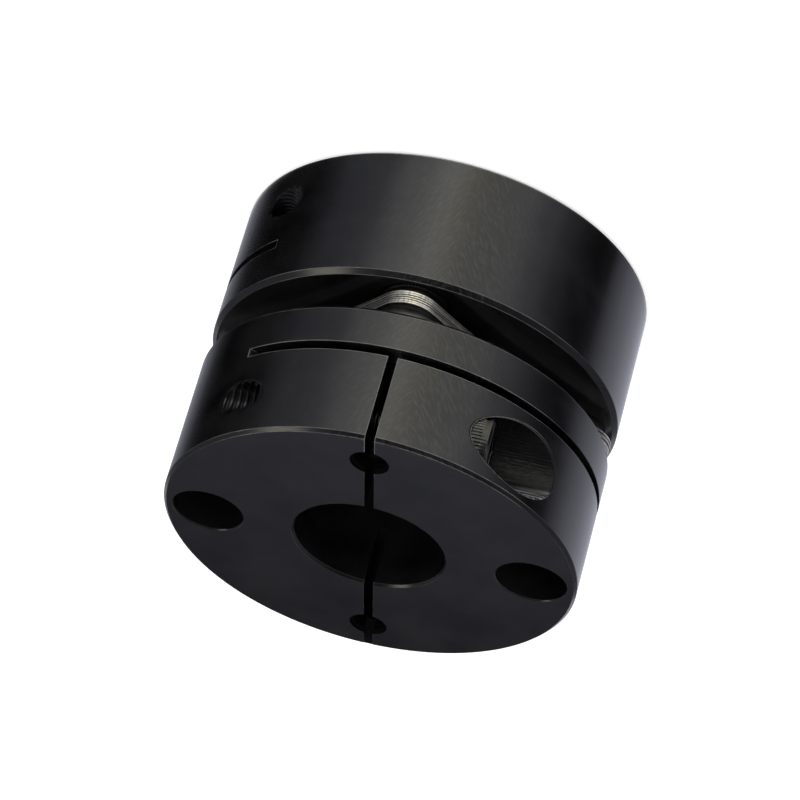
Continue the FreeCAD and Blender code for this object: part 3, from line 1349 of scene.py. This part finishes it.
@dataclass(frozen=True)
class Apron:
    """Shaded sheet on the floor that the hubs' sides reflect, and that the camera doesn't see.

    The sheet is a fan. Each of its rays starts at the coupling's foot and runs the way in which the
    camera's view is mirrored there, so that a stop at an angle shades the hubs there at every height.
    """

    camera_azimuth_deg: float
    stops: tuple[Pair, ...]
    warm_colour: Colour = (1.0, 0.98, 0.84)
    cold_colour: Colour = (0.95, 0.97, 1.13)
    warm_reach_deg: float = 32.0
    step_deg: float = 2.0
    foot_radius: float = 22.3
    reach: float = 400.0
    level: float = 0.05

    def shade(self, angle: float) -> list[float]:
        """Colour of the sheet's ray at an angle.

        Args:
            angle: Angle from the camera's azimuth, in degrees.

        Returns:
            The colour.
        """
        amount = self.stops[-1][1]
        for (start, low), (end, high) in zip(self.stops, self.stops[1:]):
            if start <= angle <= end:
                share = (angle - start) / (end - start)
                share = share * share * (3 - 2 * share)
                amount = low + (high - low) * share
                break
        cold = min(1.0, abs(angle) / self.warm_reach_deg)
        mixed = [warm + (other - warm) * cold for warm, other in zip(self.warm_colour, self.cold_colour)]
        return [amount * part for part in mixed]

    def build(self) -> bpy.types.Object:
        """Makes the sheet, lying on the floor.

        Returns:
            The sheet's object.
        """
        first, last = self.stops[0][0], self.stops[-1][0]
        count = round((last - first) / self.step_deg)
        rows = []
        for number in range(count + 1):
            angle = first + (last - first) * number / count
            near = math.radians(self.camera_azimuth_deg + angle)
            far = math.radians(self.camera_azimuth_deg + 2 * angle)
            foot = Vector((math.cos(near), math.sin(near), 0)) * self.foot_radius
            foot.z = self.level
            away = Vector((math.cos(far), math.sin(far), 0)) * self.reach
            rows.append(((foot, foot + away), self.shade(angle)))
        return glowing_sheet("apron", rows)


@dataclass(frozen=True)
class BackCard:
    """Sheet behind the coupling that the end face reflects, brighter towards its top.

    It stands so near that the near side of the end face mirrors a higher part of it than the far side.
    """

    away_deg: float = 82.4
    distance: float = 150.0
    width: float = 260.0
    foot_level: float = 34.5
    dark_deg: float = 22.0
    bright_deg: float = 37.0
    end_deg: float = 50.0
    dark_share: float = 0.3
    bright_share: float = 1.6

    def build(self, colour: Colour) -> bpy.types.Object:
        """Makes the sheet, which only reflections see.

        Args:
            colour: The colour of the world in reflections.

        Returns:
            The sheet's object.
        """
        turn = Matrix.Rotation(math.radians(self.away_deg), 3, "Z")
        rows = []
        for angle, share in ((0.0, self.dark_share), (self.dark_deg, self.dark_share),
                             (self.bright_deg, self.bright_share), (self.end_deg, self.bright_share)):
            level = self.foot_level + self.distance * math.tan(math.radians(angle))
            ends = [turn @ Vector((self.distance, side * self.width / 2, level)) for side in (-1, 1)]
            rows.append((ends, [share * part for part in colour]))
        return glowing_sheet("back_card", rows)


@dataclass(frozen=True)
class Lamp:
    """Soft area lamp that looks at the coupling."""

    name: str
    azimuth_deg: float
    elevation_deg: float
    distance: float
    size: float
    power: float
    colour: Colour = WHITE

    def build(self, centre: Vector) -> bpy.types.Object:
        """Makes the lamp.

        Args:
            centre: The point that the lamp looks at, in metres.

        Returns:
            The lamp's object.
        """
        azimuth = math.radians(self.azimuth_deg)
        elevation = math.radians(self.elevation_deg)
        away = Vector((math.cos(azimuth) * math.cos(elevation),
                       math.sin(azimuth) * math.cos(elevation),
                       math.sin(elevation)))
        data = bpy.data.lights.new(self.name, "AREA")
        data.shape = "DISK"
        data.size = self.size * MM
        data.energy = self.power
        data.color = self.colour
        lamp = scene_object(self.name, data)
        lamp.location = centre + away * self.distance * MM
        lamp.rotation_euler = away.to_track_quat("Z", "Y").to_euler()
        return lamp


@dataclass(frozen=True)
class Studio:
    """Pale floor, soft world, one lamp, and the two sheets that the coupling reflects."""

    floor_size: float = 6000.0
    floor_colour: Colour = (0.86, 0.86, 0.86)
    floor_glow: float = 0.6
    soft_level: float = 0.8
    gloss_colour: Colour = (0.15, 0.152, 0.182)
    overhead_share: float = 0.08
    overhead_start_deg: float = 38.0
    overhead_end_deg: float = 62.0
    apron: Apron = Apron(-97.5833, (
        (-89.0, 1.2), (-80.0, 0.72), (-70.0, 0.64), (-60.0, 0.52), (-53.0, 0.3), (-48.0, 0.03),
        (-42.0, 0.0), (-37.0, 0.05), (-31.0, 0.17), (-25.0, 0.38), (-15.0, 0.7), (-5.0, 0.79),
        (5.0, 1.3), (15.0, 0.76), (25.0, 0.3), (34.0, 0.22), (41.0, 0.06), (46.0, 0.0),
        (64.0, 0.0), (69.0, 0.06), (75.0, 0.26), (82.0, 0.48), (89.0, 1.1)))
    back_card: BackCard = BackCard()
    lamp: Lamp = Lamp("key_lamp", -21.0, 47.0, 1200.0, 380.0, 0.75, (1.0, 0.96, 0.82))

    def build(self, centre: Vector) -> None:
        """Makes everything round the coupling.

        Args:
            centre: The middle of the coupling, in metres.
        """
        self.build_floor()
        self.build_world()
        self.apron.build()
        self.back_card.build(self.gloss_colour)
        self.lamp.build(centre)
        bpy.context.scene.view_settings.view_transform = "Standard"

    def build_floor(self) -> bpy.types.Object:
        """Makes the floor, white to the camera and in reflections, with the coupling's shadow.

        Returns:
            The floor's object.
        """
        mesh = bmesh.new()
        bmesh.ops.create_grid(mesh, x_segments=1, y_segments=1, size=self.floor_size * MM / 2)
        material = bpy.data.materials.new("pale_floor")
        nodes = NodeTree(material)
        matte = nodes.add("BsdfDiffuse")
        matte.inputs["Color"].default_value = (*self.floor_colour, 1)
        glow = nodes.add("Emission")
        glow.inputs["Strength"].default_value = self.floor_glow
        both = nodes.add("AddShader")
        for target, shader in zip(both.inputs, (matte, glow)):
            nodes.link(shader.outputs[0], target)
        path = nodes.add("LightPath")
        seen = nodes.math("MAXIMUM", path.outputs["Is Camera Ray"], path.outputs["Is Glossy Ray"])
        seen = nodes.math("MAXIMUM", seen, path.outputs["Is Transmission Ray"])
        nodes.finish(nodes.mixed(seen, matte, both))
        floor = sheet_object(mesh, "floor", material)
        floor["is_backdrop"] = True
        return floor

    def build_world(self) -> None:
        """Makes the world: white to the camera, plain soft light, and dim and cool in reflections."""
        world = bpy.data.worlds.new("studio")
        nodes = NodeTree(world)
        path = nodes.add("LightPath")
        parts = nodes.add("SeparateXYZ")
        nodes.link(nodes.add("TexCoord").outputs["Generated"], parts.inputs["Vector"])
        start, end = (math.sin(math.radians(angle))
                      for angle in (self.overhead_start_deg, self.overhead_end_deg))
        level = nodes.spread(parts.outputs["Z"], start, end, 1.0, self.overhead_share)
        glossy = nodes.background(self.gloss_colour, level)
        soft = nodes.background(WHITE, self.soft_level)
        white = nodes.background(WHITE, 1.0)
        lit = nodes.mixed(path.outputs["Is Glossy Ray"], soft, glossy)
        nodes.finish(nodes.mixed(path.outputs["Is Camera Ray"], lit, white), "OutputWorld")
        world.cycles.sampling_method = "NONE"
        bpy.context.scene.world = world


@dataclass(frozen=True)
class DiscCoupling:
    """The whole coupling: two hubs, the disc pack, and its screws and rings."""

    hubs: tuple[ClampingHub, ...] = (
        ClampingHub("upper", Direction.UP, 34.5, 29.75, Direction.FRONT, Direction.RIGHT, ("front", "back")),
        ClampingHub("lower", Direction.DOWN, 0.0, 4.75, Direction.RIGHT, Direction.FRONT, ("right", "left")),
    )
    screws: tuple[CapScrew, ...] = (
        CapScrew("disc_screw_front", Direction.UP),
        CapScrew("disc_screw_back", Direction.UP),
        CapScrew("disc_screw_right", Direction.DOWN),
        CapScrew("disc_screw_left", Direction.DOWN),
    )
    leaves: tuple[FlexLeaf, ...] = (
        FlexLeaf(1, 0.12, (0.0, -0.04), Direction.DOWN),
        FlexLeaf(2, -0.12, (0.05, -0.02), Direction.UP),
        FlexLeaf(3, 0.05, (-0.05, 0.04), Direction.UP, 0.1),
        FlexLeaf(4, -0.15, (0.02, -0.04), Direction.DOWN, 0.1),
        FlexLeaf(5, 0.08, (0.0, -0.02), Direction.DOWN),
        FlexLeaf(6, -0.04, (0.02, -0.03), Direction.UP),
    )
    sides: tuple[str, ...] = ("front", "back", "right", "left")
    # The clamp screw's bright edge colour is partly wear, partly painted glints on its knurl and chamfers.
    clamp_screw_finish: SteelFinish = SteelFinish(
        "worn_and_glinting_screw_steel", "screw_steel", colour=(0.11, 0.108, 0.102), dark_colour=(0.06, 0.059, 0.056),
        edge_colour=(0.5, 0.49, 0.46), roughness=(0.24, 0.34))
    # Painted shade: a darker copy of the screw steel for the disc screws, whose heads sit in the shade of
    # the access holes.
    disc_screw_finish: SteelFinish = SteelFinish(
        "shaded_screw_steel", "screw_steel", colour=(0.05, 0.05, 0.05), dark_colour=(0.03, 0.03, 0.03),
        edge_colour=(0.12, 0.12, 0.12), roughness=(0.34, 0.45))
    collar_finish: SteelFinish = SteelFinish(
        "collar_steel", "ring_steel", colour=(0.2, 0.195, 0.185), dark_colour=(0.13, 0.127, 0.12),
        edge_colour=(0.26, 0.25, 0.24), roughness=(0.36, 0.46))
    # Painted shade: a darker copy of the ring steel for the washers, which sit in the shade between the pack
    # and the hub.
    washer_finish: SteelFinish = SteelFinish(
        "shaded_washer_steel", "ring_steel", colour=(0.05, 0.05, 0.05), dark_colour=(0.03, 0.03, 0.03),
        edge_colour=(0.1, 0.1, 0.1), roughness=(0.36, 0.46))

    def build(self, nodes: dict[str, bpy.types.Object]) -> None:
        """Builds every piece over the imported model.

        Args:
            nodes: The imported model's nodes, by name.
        """
        anodised = AnodisedFinish()
        clamp_screw_coat = self.clamp_screw_finish.coat()
        disc_screw_coat = self.disc_screw_finish.coat()
        ring_coats = {"collar_": self.collar_finish.coat(), "washer_": self.washer_finish.coat()}
        leaf_coat = LeafFinish().coat()
        for hub in self.hubs:
            hub.build(nodes, anodised, clamp_screw_coat)
        for screw in self.screws:
            screw.build(disc_screw_coat)
        for leaf in self.leaves:
            leaf.build(leaf_coat, nodes["flex_disc_%d" % leaf.number])
        for side in self.sides:
            for kind, coat in ring_coats.items():
                FlatRing(kind + side).build(coat)


def main() -> None:
    """Builds the coupling's looks in order."""
    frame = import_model()
    low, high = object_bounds()
    centre = (low + high) / 2
    PhotoCamera().build(centre)
    DiscCoupling().build(frame["nodes"])
    Studio().build(centre)
    bpy.context.view_layer.update()
    low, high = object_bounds()


if __name__ == "__main__":
    main()
